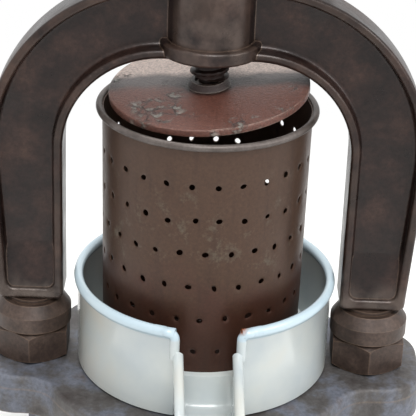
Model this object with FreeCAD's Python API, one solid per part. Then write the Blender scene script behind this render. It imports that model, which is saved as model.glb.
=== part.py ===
# Cast-iron table press for fruit: a screw in an arched yoke pushes a plate into a
# perforated basket, and the juice runs off through the spout of an enamelled pan.
# Millimetres, +Z up, origin on the table under the screw, front towards -Y.
import FreeCAD, Part
import math
import os

V = FreeCAD.Vector

# base casting
base_top = 110.0
deck_thick = 9.0
skirt_depth = 27.0
skirt_wall = 10.0
base_disc_r = 106.0
ear_reach = 35.5
ear_half_depth = 41.0
ear_corner_r = 28.0
ear_blend_r = 24.0
base_edge_r = 3.0
rib_thick = 6.0
rib_depth = 16.0
rib_half_length = 78.0

# legs and bench-screw holes
foot_x = 108.0
foot_y = 82.0
leg_top_x = 71.4
leg_top_y = 50.9
leg_top_r = 10.5
leg_foot_r = 8.5
leg_set = 15.0
pad_ledge = 2.0
pad_r = 17.0
pad_thick = 9.0
bench_hole_r = 4.5

# pillars that carry the yoke
stud_x = 110.5
stud_r = 12.0
stud_spigot_r = 9.0
spigot_depth = 5.0
stud_below_nut = 4.0
hole_clearance = 0.3
thread_clearance = 0.02
nut_across_flats = 46.0
nut_height = 21.5
nut_chamfer = 2.6
collar_groove_r = 21.5
collar_groove_h = 1.3
collar_r = 25.0
collar_band_h = 10.2
collar_cone_h = 7.5
collar_top_r = 20.0
collar_neck_r = 16.5
collar_neck_h = 2.5
washer_r = 21.0
washer_thick = 3.0
lower_nut_across_flats = 36.0
lower_nut_height = 14.0

# arched yoke, an I-section casting
yoke_half_depth = 14.0
web_thick = 8.0
flange_width = 6.0
flange_edge_r = 2.6
pocket_corner_r = 5.0
pocket_floor_r = 3.0
foot_solid_h = 7.5
foot_corner_r = 4.0
foot_ramp_h = 30.0
foot_ramp_set = 3.0
yoke_inner_half = 89.5
yoke_foot_reach = 21.0
inner_arc_x = 28.0
inner_arc_z = 259.0
outer_arc_x = 26.5
outer_arc_z = 256.6
outer_arc_r = 111.0
pocket_hub_sink = 6.0

# hub and its screwed bush
hub_r = 26.5
hub_lip_r = 31.0
hub_lip_h = 9.0
hub_bottom = 322.0
hub_top = 371.0
hub_edge_r = 2.0
bush_r = 18.0
bush_flange_r = 22.0
bush_flange_h = 3.0
grub_r = 2.5
grub_length = 8.0
grub_drop = 14.7

# screw spindle
screw_r = 12.0
running_clearance = 0.05
press_travel = 150.0
head_gap = 4.0
neck_r = 6.5
journal_r = 4.0
screw_end_gap = 5.8
head_r = 19.0
head_height = 34.0
head_edge_r = 3.0
spigot_r = 8.0
spigot_length = 12.0
head_pin_inset = 0.6
drill_over = 2.0
head_pin_r = 2.5
head_pin_height = 6.8
bar_height = 20.0
bar_r = 6.5
bar_half_length = 128.0
knob_r = 11.0
knob_socket = 9.0

# pressing plate and its pivot
plate_hang = 21.3
plate_r = 61.2
plate_thick = 4.5
plate_edge_r = 0.8
plate_tilt = 6.6
tilt_axis_x = 0.70
tilt_axis_y = -0.714
boss_r = 13.0
boss_top_r = 10.8
boss_height = 4.0
boss_bore_r = 8.6
boss_floor = 3.4
thrust_r = 8.0
thrust_thick = 4.0
pivot_pin_r = 1.4
pivot_pin_reach = 11.4
pivot_pin_root = 5.2

# enamelled pan
pan_x = 1.6
pan_r = 82.5
pan_sheet = 2.0
pan_corner_r = 6.0
pan_bead_r = 84.75
pan_bead_height = 7.0
pan_bead_width = 6.0
pan_rim = 173.0
seat_top = 133.0
seat_r = 68.0
seat_slope = 6.0
moat_floor = 113.0
spout_turn = 2.6
spout_gap = 34.8
spout_gap_set = 1.2
spout_back_width = 36.2
spout_tip_width = 34.7
spout_sheet = 2.2
spout_drop = 1.8
spout_tip_y = 162.0
spout_back_rise = 44.0
spout_tip_rise = 25.3
spout_edge_r = 2.4
support_gap = 0.3

# perforated basket
basket_x = -0.3
seat_margin = 4.0
basket_flare = 1.3
basket_sheet = 0.9
basket_height = 153.5
rim_wire_r = 2.2
basket_hole_r = 1.8
# how far each hole row is turned, lowest row first, as a share of the hole pitch
row_turns = (0.31, 0.5, 0.96, 0.62, 0.1, 0.0)
holes_per_row = 26
first_row = 14.4
row_pitch = 22.5
punch_wander = 0.03
sieve_thick = 1.6
sieve_gap = 0.25
sieve_rings = 3
sieve_ring_pitch = 16.0

# heights and places that follow from the sizes above
base_half_length = stud_x + ear_reach
yoke_foot_outer = stud_x + yoke_foot_reach
basket_foot_r = seat_r - seat_margin
basket_top_r = basket_foot_r + basket_flare
deck_under = base_top - deck_thick
skirt_under = base_top - skirt_depth
nut_top = base_top + nut_height
collar_top = nut_top + collar_groove_h + collar_band_h + collar_cone_h + collar_neck_h
yoke_foot = collar_top
plate_top = hub_bottom - plate_hang
pivot = V(0, 0, plate_top)
tilt_axis = V(tilt_axis_x, tilt_axis_y, 0)
screw_end = plate_top + screw_end_gap
head_bottom = hub_top + bush_flange_h + press_travel + head_gap
bar_z = head_bottom + bar_height
basket_rim_z = seat_top + basket_height


def cylinder(radius, low, high, x=0.0, y=0.0):
    return Part.makeCylinder(radius, high - low, V(x, y, low))


def cone(low_r, high_r, low, high, x=0.0, y=0.0):
    return Part.makeCone(low_r, high_r, high - low, V(x, y, low))


def rod(radius, start, direction, length):
    return Part.makeCylinder(radius, length, start, direction)


def turned(points, x=0.0, y=0.0):
    # a solid of revolution from (radius, height) points about an upright axis
    corners = [V(x + radius, y, height) for radius, height in points]
    face = Part.Face(Part.makePolygon(corners + corners[:1]))
    return face.revolve(V(x, y, 0), V(0, 0, 1), 360)


def hexagon(across_flats, low, high, x):
    # an upright hexagonal prism with one corner towards the front
    corner_r = across_flats / 2 / math.cos(math.pi / 6)
    corners = []
    for step in range(6):
        angle = math.pi / 2 + step * math.pi / 3
        corners.append(V(x + corner_r * math.cos(angle), corner_r * math.sin(angle), low))
    face = Part.Face(Part.makePolygon(corners + corners[:1]))
    return face.extrude(V(0, 0, high - low))


def hex_nut(across_flats, low, high, x):
    # chamfered at both ends by a turned blank, and bored for the stud
    corner_r = across_flats / 2 / math.cos(math.pi / 6) + thread_clearance
    flat_r = corner_r - nut_chamfer * 1.6
    blank = turned(
        [
            (0, low),
            (flat_r, low),
            (corner_r, low + nut_chamfer),
            (corner_r, high - nut_chamfer),
            (flat_r, high),
            (0, high),
        ],
        x,
    )
    nut = hexagon(across_flats, low, high, x).common(blank)
    return nut.cut(cylinder(stud_r + thread_clearance, low, high, x))


def level_edges(shape, axis, level):
    # the edges that lie in the plane where one coordinate has the given value
    found = []
    for edge in shape.Edges:
        box = edge.BoundBox
        low = getattr(box, axis + "Min")
        high = getattr(box, axis + "Max")
        if abs(low - level) < 1e-3 and abs(high - level) < 1e-3:
            found.append(edge)
    return found


def base_slab(inset, low, high):
    # round disc with an ear at each side, joined by concave blends
    height = high - low
    half_x = base_half_length - inset
    half_y = ear_half_depth - inset
    disc_r = base_disc_r - inset
    ears = Part.makeBox(2 * half_x, 2 * half_y, height, V(-half_x, -half_y, low))
    upright = [edge for edge in ears.Edges if edge.BoundBox.ZLength > height / 2]
    ears = ears.makeFillet(ear_corner_r - inset, upright)
    slab = cylinder(disc_r, low, high).fuse(ears).removeSplitter()
    meet_x = math.sqrt(disc_r ** 2 - half_y ** 2)
    notches = []
    for edge in slab.Edges:
        middle = edge.BoundBox.Center
        upright = edge.BoundBox.ZLength > height / 2
        if upright and abs(abs(middle.x) - meet_x) < 0.1 and abs(abs(middle.y) - half_y) < 0.1:
            notches.append(edge)
    return slab.makeFillet(ear_blend_r + inset, notches)


def leg(side_x, side_y):
    # splayed leg from the skirt's edge down to a pad drilled beside it
    hole = V(side_x * foot_x, side_y * foot_y, 0)
    foot = hole - V(hole).normalize() * leg_set + V(0, 0, pad_thick / 2)
    top = V(side_x * leg_top_x, side_y * leg_top_y, base_top - deck_thick / 2)
    shaft = Part.makeCone(leg_foot_r, leg_top_r, (top - foot).Length, foot, top - foot)
    above = Part.makeBox(2 * foot_x, 2 * foot_y, base_top, V(-foot_x, -foot_y, skirt_under))
    pad = cylinder(pad_r, 0, pad_thick, hole.x, hole.y)
    ledge = cylinder(leg_foot_r + pad_ledge, 0, pad_thick, foot.x, foot.y)
    whole = shaft.cut(above).fuse([pad, ledge])
    return whole.cut(cylinder(bench_hole_r, 0, skirt_under, hole.x, hole.y)).removeSplitter()


def base_deck():
    deck = base_slab(0, deck_under, base_top)
    deck = deck.makeFillet(base_edge_r, level_edges(deck, "Z", base_top))
    for side in (-1, 1):
        deck = deck.cut(cylinder(stud_r + hole_clearance, deck_under, base_top, side * stud_x))
    return deck


def base_skirt():
    return base_slab(0, skirt_under, deck_under).cut(base_slab(skirt_wall, skirt_under, deck_under))


def base_ribs():
    low = deck_under - rib_depth
    half = rib_half_length
    along = Part.makeBox(2 * half, rib_thick, rib_depth, V(-half, -rib_thick / 2, low))
    across = Part.makeBox(rib_thick, 2 * half, rib_depth, V(-rib_thick / 2, -half, low))
    return along.fuse(across).removeSplitter()


def yoke_outline(inset, foot):
    # arch outline in the XZ plane, drawn in by the inset: two columns and a crown
    inner_r = yoke_inner_half - inner_arc_x + inset
    outer_r = outer_arc_r - inset
    out_x = yoke_foot_outer - inset - outer_arc_x
    out_z = foot - outer_arc_z
    reach = math.hypot(out_x, out_z)
    slant = math.atan2(out_z, out_x) + math.acos(outer_r / reach)
    tangent_x = outer_arc_x + outer_r * math.cos(slant)
    tangent_z = outer_arc_z + outer_r * math.sin(slant)
    mid_slant = (slant + math.pi / 2) / 2
    half = math.sqrt(0.5)

    def arc(side, points):
        a, b, c = [V(side * x, 0, z) for x, z in points]
        return Part.Arc(a, b, c).toShape()

    def line(start, end):
        return Part.makeLine(V(start[0], 0, start[1]), V(end[0], 0, end[1]))

    inner_low = (inner_arc_x + inner_r, foot)
    inner_bend = (inner_arc_x + inner_r, inner_arc_z)
    inner_mid = (inner_arc_x + inner_r * half, inner_arc_z + inner_r * half)
    inner_crown = (inner_arc_x, inner_arc_z + inner_r)
    outer_low = (yoke_foot_outer - inset, foot)
    outer_bend = (tangent_x, tangent_z)
    outer_mid = (
        outer_arc_x + outer_r * math.cos(mid_slant),
        outer_arc_z + outer_r * math.sin(mid_slant),
    )
    outer_crown = (outer_arc_x, outer_arc_z + outer_r)
    edges = []
    for side in (-1, 1):
        flip = lambda point: (side * point[0], point[1])
        edges.append(line(flip(outer_low), flip(inner_low)))
        edges.append(line(flip(inner_low), flip(inner_bend)))
        edges.append(arc(side, (inner_bend, inner_mid, inner_crown)))
        edges.append(line(flip(outer_low), flip(outer_bend)))
        edges.append(arc(side, (outer_bend, outer_mid, outer_crown)))
    edges.append(line((-inner_crown[0], inner_crown[1]), inner_crown))
    edges.append(line((-outer_crown[0], outer_crown[1]), outer_crown))
    return Part.Face(Part.Wire(Part.__sortEdges__(edges)))


def foot_ramps(depth, low):
    # wedges that let a recess run out towards the front of each foot
    slope = [V(-base_half_length, 0, low), V(-base_half_length, depth - foot_ramp_set, low)]
    slope.append(V(-base_half_length, 0, low + foot_ramp_h))
    face = Part.Face(Part.makePolygon(slope + slope[:1]))
    return face.extrude(V(2 * base_half_length, 0, 0))


def yoke_pockets():
    # recesses in the front and back that leave a web between two flanges
    depth = yoke_half_depth - web_thick / 2
    pocket_foot = yoke_foot + foot_solid_h
    face = yoke_outline(flange_width, pocket_foot)
    block = face.extrude(V(0, depth, 0))
    keep_out = hub_r - pocket_hub_sink
    hub_zone = Part.makeBox(2 * keep_out, depth, hub_top, V(-keep_out, 0, 0))
    block = block.cut(hub_zone)
    across = [edge for edge in block.Edges if edge.BoundBox.YLength > depth / 2]
    sharp = [edge for edge in across if abs(edge.BoundBox.Center.z - pocket_foot) < 0.1]
    block = block.makeFillet(pocket_corner_r, sharp)
    block = block.cut(foot_ramps(depth, pocket_foot))
    back = block.copy()
    back.translate(V(0, web_thick / 2, 0))
    front = back.mirror(V(0, 0, 0), V(0, 1, 0))
    return front, back


def yoke_casting():
    blank = yoke_outline(0, yoke_foot).extrude(V(0, 2 * yoke_half_depth, 0))
    blank.translate(V(0, -yoke_half_depth, 0))
    corners = []
    for edge in level_edges(blank, "Z", yoke_foot):
        if edge.BoundBox.YLength > yoke_half_depth:
            corners.append(edge)
    blank = blank.makeFillet(foot_corner_r, corners)
    for pocket in yoke_pockets():
        blank = blank.cut(pocket)
    rims = level_edges(blank, "Y", -yoke_half_depth) + level_edges(blank, "Y", yoke_half_depth)
    blank = blank.makeFillet(flange_edge_r, rims)
    floors = level_edges(blank, "Y", -web_thick / 2) + level_edges(blank, "Y", web_thick / 2)
    blank = blank.makeFillet(pocket_floor_r, floors)
    barrel = cylinder(hub_r, hub_bottom, hub_top)
    lip = cylinder(hub_lip_r, hub_bottom, hub_bottom + hub_lip_h)
    lip_rims = level_edges(lip, "Z", hub_bottom) + level_edges(lip, "Z", hub_bottom + hub_lip_h)
    lip = lip.makeFillet(hub_edge_r, lip_rims)
    barrel = barrel.makeFillet(hub_edge_r, level_edges(barrel, "Z", hub_top))
    casting = blank.fuse([barrel, lip])
    casting = casting.cut(cylinder(bush_r, 0, hub_top))
    for side in (-1, 1):
        socket_r = stud_spigot_r + thread_clearance
        socket = cylinder(socket_r, yoke_foot, yoke_foot + spigot_depth, side * stud_x)
        casting = casting.cut(socket)
    grub = rod(grub_r, V(0, hub_r + drill_over, grub_height()), V(0, -1, 0), hub_r)
    return casting.cut(grub).removeSplitter()


def grub_height():
    return hub_top - grub_drop


def screw_bush():
    # bronze nut in the hub, with a flange on the hub's top
    body = cylinder(bush_r, hub_bottom, hub_top)
    flange = cylinder(bush_flange_r, hub_top, hub_top + bush_flange_h)
    bush = body.fuse(flange)
    bush = bush.cut(cylinder(screw_r + running_clearance, hub_bottom, hub_top + bush_flange_h))
    return bush.removeSplitter()


def bush_grub_screw():
    screw = rod(grub_r, V(0, bush_r, grub_height()), V(0, 1, 0), grub_length)
    return screw.cut(cylinder(bush_r, hub_bottom, hub_top))


def pillar_stud(side):
    x = side * stud_x
    low = deck_under - washer_thick - lower_nut_height - stud_below_nut
    body = cylinder(stud_r, low, yoke_foot, x)
    return body.fuse(cylinder(stud_spigot_r, yoke_foot, yoke_foot + spigot_depth, x))


def collar(side):
    x = side * stud_x
    inner = stud_r + thread_clearance
    band_low = nut_top + collar_groove_h
    band_high = band_low + collar_band_h
    cone_high = band_high + collar_cone_h
    return turned(
        [
            (inner, nut_top),
            (collar_groove_r, nut_top),
            (collar_groove_r, band_low),
            (collar_r, band_low),
            (collar_r, band_high),
            (collar_top_r, cone_high),
            (collar_neck_r, cone_high),
            (collar_neck_r, collar_top),
            (inner, collar_top),
        ],
        x,
    )


def washer(side):
    x = side * stud_x
    disc = cylinder(washer_r, deck_under - washer_thick, deck_under, x)
    return disc.cut(cylinder(stud_r + hole_clearance, deck_under - washer_thick, deck_under, x))


def lower_nut(side):
    high = deck_under - washer_thick
    return hex_nut(lower_nut_across_flats, high - lower_nut_height, high, side * stud_x)


def spindle():
    # the screw, its slim neck and the journal that turns in the thrust pad
    pad_top = plate_top + thrust_thick / 2 + running_clearance
    journal = cylinder(journal_r, plate_top - thrust_thick / 2, pad_top)
    neck = cylinder(neck_r, pad_top, screw_end)
    screw = cylinder(screw_r, screw_end, head_bottom)
    spigot = cylinder(spigot_r, head_bottom, head_bottom + spigot_length)
    body = screw.fuse([neck, journal, spigot])
    return body.cut(pin_hole()).removeSplitter()


def cross_rod(radius, half, direction, height):
    # a level rod through the spindle's axis
    return rod(radius, V(0, 0, height) - direction * half, direction, 2 * half)


def head_pin():
    return cross_rod(head_pin_r, head_r - head_pin_inset, V(0, 1, 0), head_bottom + head_pin_height)


def pin_hole():
    return cross_rod(head_pin_r, head_r + drill_over, V(0, 1, 0), head_bottom + head_pin_height)


def spindle_head():
    head = cylinder(head_r, head_bottom, head_bottom + head_height)
    rims = level_edges(head, "Z", head_bottom) + level_edges(head, "Z", head_bottom + head_height)
    head = head.makeFillet(head_edge_r, rims)
    socket_r = spigot_r + thread_clearance
    head = head.cut(cylinder(socket_r, head_bottom, head_bottom + spigot_length))
    head = head.cut(cross_rod(bar_r + running_clearance, head_r + drill_over, V(1, 0, 0), bar_z))
    return head.cut(pin_hole())


def tommy_bar():
    return cross_rod(bar_r, bar_half_length, V(1, 0, 0), bar_z)


def knob(side):
    centre = side * (bar_half_length - knob_socket + math.sqrt(knob_r ** 2 - bar_r ** 2))
    ball = Part.makeSphere(knob_r, V(centre, 0, bar_z))
    return ball.cut(tommy_bar())


def tilted(shape):
    shape.rotate(pivot, tilt_axis, plate_tilt)
    return shape


def press_plate():
    disc = cylinder(plate_r, plate_top - plate_thick, plate_top)
    rims = level_edges(disc, "Z", plate_top) + level_edges(disc, "Z", plate_top - plate_thick)
    disc = disc.makeFillet(plate_edge_r, rims)
    plate = disc.fuse(cone(boss_r, boss_top_r, plate_top, plate_top + boss_height))
    plate = plate.cut(cylinder(boss_bore_r, plate_top - boss_floor, plate_top + boss_height))
    for side in (-1, 1):
        reach = pivot_pin_reach + running_clearance
        plate = plate.cut(rod(pivot_pin_r + running_clearance, pivot, side * tilt_axis, reach))
    return tilted(plate.removeSplitter())


def pivot_pin(side):
    start = pivot + side * pivot_pin_root * tilt_axis
    return rod(pivot_pin_r, start, side * tilt_axis, pivot_pin_reach - pivot_pin_root)


def thrust_pad():
    half = thrust_thick / 2
    pad = cylinder(thrust_r, plate_top - half, plate_top + half)
    pad = pad.cut(cylinder(journal_r + running_clearance, plate_top - half, plate_top + half))
    for side in (-1, 1):
        pad = pad.cut(pivot_pin(side))
    return pad


def pan_bowl():
    # turned sheet with a raised seat, a moat round it and a beaded rim, cut open at the front
    wall_in = pan_r - pan_sheet
    slope_r = seat_r + seat_slope
    under_slope_r = slope_r - pan_sheet
    under_seat_r = seat_r - pan_sheet
    bead_low = pan_rim - pan_bead_height
    bead_in = pan_bead_r - pan_bead_width
    bead_bevel = pan_bead_width * 0.3
    bowl = turned(
        [
            (0, seat_top - pan_sheet),
            (under_seat_r, seat_top - pan_sheet),
            (under_slope_r, base_top),
            (pan_r - pan_corner_r, base_top),
            (pan_r - pan_corner_r * 0.3, base_top + pan_corner_r * 0.3),
            (pan_r, base_top + pan_corner_r),
            (pan_r, bead_low),
            (pan_bead_r, bead_low + bead_bevel),
            (pan_bead_r, pan_rim - bead_bevel),
            (pan_bead_r - bead_bevel, pan_rim),
            (bead_in + bead_bevel, pan_rim),
            (bead_in, pan_rim - bead_bevel),
            (bead_in, bead_low + bead_bevel),
            (wall_in, bead_low),
            (wall_in, moat_floor),
            (slope_r, moat_floor),
            (seat_r, seat_top),
            (0, seat_top),
        ],
        pan_x,
    )
    gap_depth = pan_bead_r + drill_over - slope_r - spout_gap_set
    gap_start = V(pan_x - spout_gap / 2, -pan_bead_r - drill_over, moat_floor)
    gap = Part.makeBox(spout_gap, gap_depth, pan_rim, gap_start)
    gap.rotate(V(pan_x, 0, 0), V(0, 0, 1), spout_turn)
    return bowl.cut(gap)


def spout_section(width, y, floor, rise):
    # upright channel section across the spout
    half = width / 2
    inner = half - spout_sheet
    points = [
        (-half, floor),
        (half, floor),
        (half, floor + rise),
        (inner, floor + rise),
        (inner, floor + spout_sheet),
        (-inner, floor + spout_sheet),
        (-inner, floor + rise),
        (-half, floor + rise),
    ]
    corners = [V(pan_x + x, -y, z) for x, z in points]
    return Part.makePolygon(corners + corners[:1])


def pan_spout():
    back_floor = moat_floor - spout_sheet
    tip_floor = back_floor - spout_drop
    back = spout_section(spout_back_width, pan_r, back_floor, spout_back_rise)
    tip = spout_section(spout_tip_width, spout_tip_y, tip_floor, spout_tip_rise)
    channel = Part.makeLoft([back, tip], True, True)
    edges = []
    for side in (-1, 1):
        back_x = side * (spout_back_width - spout_sheet) / 2 + pan_x
        tip_x = side * (spout_tip_width - spout_sheet) / 2 + pan_x
        start = V(back_x, -pan_r - spout_edge_r, back_floor + spout_back_rise)
        end = V(tip_x, -spout_tip_y, tip_floor + spout_tip_rise)
        edges.append(rod(spout_edge_r, start, end - start, (end - start).Length))
    spout = channel.fuse(edges).removeSplitter()
    spout.rotate(V(pan_x, 0, 0), V(0, 0, 1), spout_turn)
    return spout


def pan_support():
    # round block that holds the pan's raised seat up from the base
    return cylinder(seat_r - pan_sheet - support_gap, base_top, seat_top - pan_sheet, pan_x)


def basket_blank(inset, low, high):
    # the tapering round body, drawn in by the inset, between two heights over its foot
    slope = (basket_top_r - basket_foot_r) / basket_height
    low_r = basket_foot_r + slope * low - inset
    high_r = basket_foot_r + slope * high - inset
    return cone(low_r, high_r, seat_top + low, seat_top + high, basket_x)


def basket_wall():
    wall = basket_blank(0, 0, basket_height).cut(basket_blank(basket_sheet, 0, basket_height))
    punches = []
    for row, row_turn in enumerate(row_turns):
        for place in range(holes_per_row):
            wander = punch_wander * math.sin(7.3 * place + 3.1 * row)
            angle = 2 * math.pi * (place + row_turn) / holes_per_row + wander
            lift = row_pitch * punch_wander * math.cos(5.9 * place + 1.7 * row)
            height = seat_top + first_row + row * row_pitch + lift
            direction = V(math.cos(angle), math.sin(angle), 0)
            start = V(basket_x, 0, height) + direction * (basket_foot_r - 3 * basket_sheet)
            punches.append(rod(basket_hole_r, start, direction, 6 * basket_sheet))
    return wall.cut(Part.makeCompound(punches))


def basket_rim():
    ring = Part.makeTorus(basket_top_r + rim_wire_r * 0.8, rim_wire_r, V(basket_x, 0, basket_rim_z))
    return ring.cut(basket_blank(0, -rim_wire_r * 2 + basket_height, basket_height + rim_wire_r * 2))


def basket_floor():
    disc = basket_blank(basket_sheet + sieve_gap, 0, sieve_thick)
    drains = [cylinder(basket_hole_r, seat_top, seat_top + sieve_thick, basket_x)]
    for ring in range(1, sieve_rings + 1):
        count = 6 * ring
        for place in range(count):
            angle = 2 * math.pi * place / count
            x = basket_x + ring * sieve_ring_pitch * math.cos(angle)
            y = ring * sieve_ring_pitch * math.sin(angle)
            drains.append(cylinder(basket_hole_r, seat_top, seat_top + sieve_thick, x, y))
    return disc.cut(Part.makeCompound(drains))


def all_parts():
    parts = {
        "base_deck": base_deck(),
        "base_skirt": base_skirt(),
        "base_ribs": base_ribs(),
        "yoke_casting": yoke_casting(),
        "screw_bush": screw_bush(),
        "bush_grub_screw": bush_grub_screw(),
        "spindle": spindle(),
        "spindle_head": spindle_head(),
        "head_pin": head_pin(),
        "tommy_bar": tommy_bar(),
        "press_plate": press_plate(),
        "thrust_pad": thrust_pad(),
        "pan_bowl": pan_bowl(),
        "pan_spout": pan_spout(),
        "pan_support": pan_support(),
        "basket_wall": basket_wall(),
        "basket_rim": basket_rim(),
        "basket_floor": basket_floor(),
    }
    for name, side in (("left", -1), ("right", 1)):
        parts["front_" + name + "_leg"] = leg(side, -1)
        parts["back_" + name + "_leg"] = leg(side, 1)
        parts[name + "_stud"] = pillar_stud(side)
        parts[name + "_hex_nut"] = hex_nut(nut_across_flats, base_top, nut_top, side * stud_x)
        parts[name + "_collar"] = collar(side)
        parts[name + "_washer"] = washer(side)
        parts[name + "_lower_nut"] = lower_nut(side)
        parts[name + "_pivot_pin"] = pivot_pin(side)
        parts[name + "_knob"] = knob(side)
    return parts


os.makedirs("parts", exist_ok=True)
for node, shape in all_parts().items():
    print(node, shape.isValid(), len(shape.Solids), round(shape.Volume))
    shape.exportStep("parts/" + node + ".step")
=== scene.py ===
import bmesh
import bpy
import math
from mathutils import Matrix, Vector


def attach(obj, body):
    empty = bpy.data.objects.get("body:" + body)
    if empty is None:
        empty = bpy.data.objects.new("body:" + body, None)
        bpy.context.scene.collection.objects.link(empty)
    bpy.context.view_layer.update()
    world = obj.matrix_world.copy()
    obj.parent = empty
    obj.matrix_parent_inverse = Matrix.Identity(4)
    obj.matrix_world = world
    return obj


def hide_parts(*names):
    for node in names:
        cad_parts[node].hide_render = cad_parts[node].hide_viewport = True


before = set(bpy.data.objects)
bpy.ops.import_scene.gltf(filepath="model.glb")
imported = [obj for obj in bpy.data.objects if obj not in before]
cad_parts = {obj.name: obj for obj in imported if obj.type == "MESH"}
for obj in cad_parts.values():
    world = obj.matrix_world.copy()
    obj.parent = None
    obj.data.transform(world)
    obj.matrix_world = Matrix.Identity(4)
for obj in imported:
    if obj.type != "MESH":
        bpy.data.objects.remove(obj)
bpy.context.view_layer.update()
scene = bpy.context.scene
mm = 0.001  # sizes below are in millimetres
print("frame loaded:", len(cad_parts), "nodes")


# colours and node helpers

def linear(hexColour):
    # sRGB hex to the linear colour that the shaders use
    channels = [int(hexColour[i:i + 2], 16) / 255 for i in (1, 3, 5)]
    channels = [c / 12.92 if c <= 0.04045 else ((c + 0.055) / 1.055) ** 2.4 for c in channels]
    return (*channels, 1.0)


def fillNode(tree, node, given):
    # sockets among the given values are linked, the rest set the node itself or its inputs
    for key, value in given.items():
        if isinstance(value, bpy.types.NodeSocket):
            tree.links.new(value, node.inputs[key])
        elif isinstance(key, str) and hasattr(node, key):
            setattr(node, key, value)
        else:
            node.inputs[key].default_value = value
    return node


def addNode(tree, kind, given=None):
    # a node's own settings come first in what is given, because they decide its inputs
    return fillNode(tree, tree.nodes.new(kind), given or {})


def calc(tree, operation, first, second=0.0):
    given = {"operation": operation, 0: first, 1: second}
    return addNode(tree, "ShaderNodeMath", given).outputs[0]


def splitAxes(tree, vector):
    return addNode(tree, "ShaderNodeSeparateXYZ", {0: vector}).outputs


def joinAxes(tree, given):
    return addNode(tree, "ShaderNodeCombineXYZ", given).outputs[0]


def addVectors(tree, first, second):
    return addNode(tree, "ShaderNodeVectorMath", {"operation": "ADD", 0: first, 1: second}).outputs[0]


def scaled(tree, vector, factor):
    given = {"operation": "SCALE", 0: vector, "Scale": factor}
    return addNode(tree, "ShaderNodeVectorMath", given).outputs[0]


def lengthOf(tree, vector):
    return addNode(tree, "ShaderNodeVectorMath", {"operation": "LENGTH", 0: vector}).outputs["Value"]


def distanceFrom(tree, spot, centre):
    # metres from a centre in millimetres
    given = {"operation": "DISTANCE", 0: spot, 1: Vector(centre) * mm}
    return addNode(tree, "ShaderNodeVectorMath", given).outputs["Value"]


def remap(tree, value, low, high, toLow=0.0, toHigh=1.0, smooth=False):
    # carries a value from one range to another and stops at its ends
    given = {
        "interpolation_type": "SMOOTHSTEP" if smooth else "LINEAR", "Value": value,
        "From Min": low, "From Max": high, "To Min": toLow, "To Max": toHigh,
    }
    return addNode(tree, "ShaderNodeMapRange", given).outputs["Result"]


def perMm(size):
    # texture scale whose features are about this many millimetres
    return 1.0 / (size * mm)


# detail and roughness of each kind of noise
noiseKinds = {
    "even": (0.0, 0.5), "smooth": (2.0, 0.5), "soft": (3.0, 0.5), "broken": (4.0, 0.5),
    "speckled": (4.0, 0.7), "chipped": (5.0, 0.6), "grainy": (5.0, 0.7), "pitted": (5.0, 0.75),
    "blotched": (6.0, 0.6), "stained": (6.0, 0.62), "scaly": (7.0, 0.7),
}


def noise(tree, spot, size, kind):
    detail, rough = noiseKinds[kind]
    given = {"Vector": spot, "Scale": perMm(size), "Detail": detail, "Roughness": rough}
    return addNode(tree, "ShaderNodeTexNoise", given).outputs


def colourRamp(tree, share, stops):
    # colours at (place, hex) pairs
    node = addNode(tree, "ShaderNodeValToRGB", {"Fac": share})
    ramp = node.color_ramp
    while len(ramp.elements) < len(stops):
        ramp.elements.new(0.5)
    for element, (stop, colour) in zip(ramp.elements, stops):
        element.position = stop
        element.color = linear(colour)
    return node.outputs["Color"]


def blend(tree, share, under, colour):
    # a hex colour laid over another by its share; inputs 6 and 7 are the node's two colours
    given = {"data_type": "RGBA", 0: share, 6: under, 7: linear(colour)}
    return addNode(tree, "ShaderNodeMix", given).outputs[2]


def bump(tree, height, strength, deep, under=None, invert=False):
    # relief this many millimetres deep, on top of another relief where there is one
    given = {"invert": invert, "Height": height, "Strength": strength, "Distance": deep * mm}
    if under is not None:
        given["Normal"] = under
    return addNode(tree, "ShaderNodeBump", given).outputs[0]


bevelSamples = 4


def rubbedEdge(tree, wide, span, most):
    # share of bare metal, found where a rounded normal turns away from the true one
    bevel = addNode(tree, "ShaderNodeBevel", {"samples": bevelSamples, "Radius": wide * mm}).outputs[0]
    facing = addNode(tree, "ShaderNodeNewGeometry").outputs["Normal"]
    given = {"operation": "DOT_PRODUCT", 0: bevel, 1: facing}
    match = addNode(tree, "ShaderNodeVectorMath", given).outputs["Value"]
    return remap(tree, match, *span, 0.0, most)


def newMaterial(name):
    # a material with its tree, its shader and the object's own coordinates
    material = bpy.data.materials.new(name)
    material.use_nodes = True
    tree = material.node_tree
    spot = addNode(tree, "ShaderNodeTexCoord").outputs["Object"]
    return material, tree, tree.nodes["Principled BSDF"], spot


# materials

ironSkin = {
    "speckSpan": (0.35, 0.7), "brokenSpan": (0.36, 0.62), "rubSpan": (0.995, 0.86), "glossSpan": (0.3, 0.7),
    "lumpDeep": 0.8, "grainDeep": 0.3, "grainShare": 0.8,
}


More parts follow.
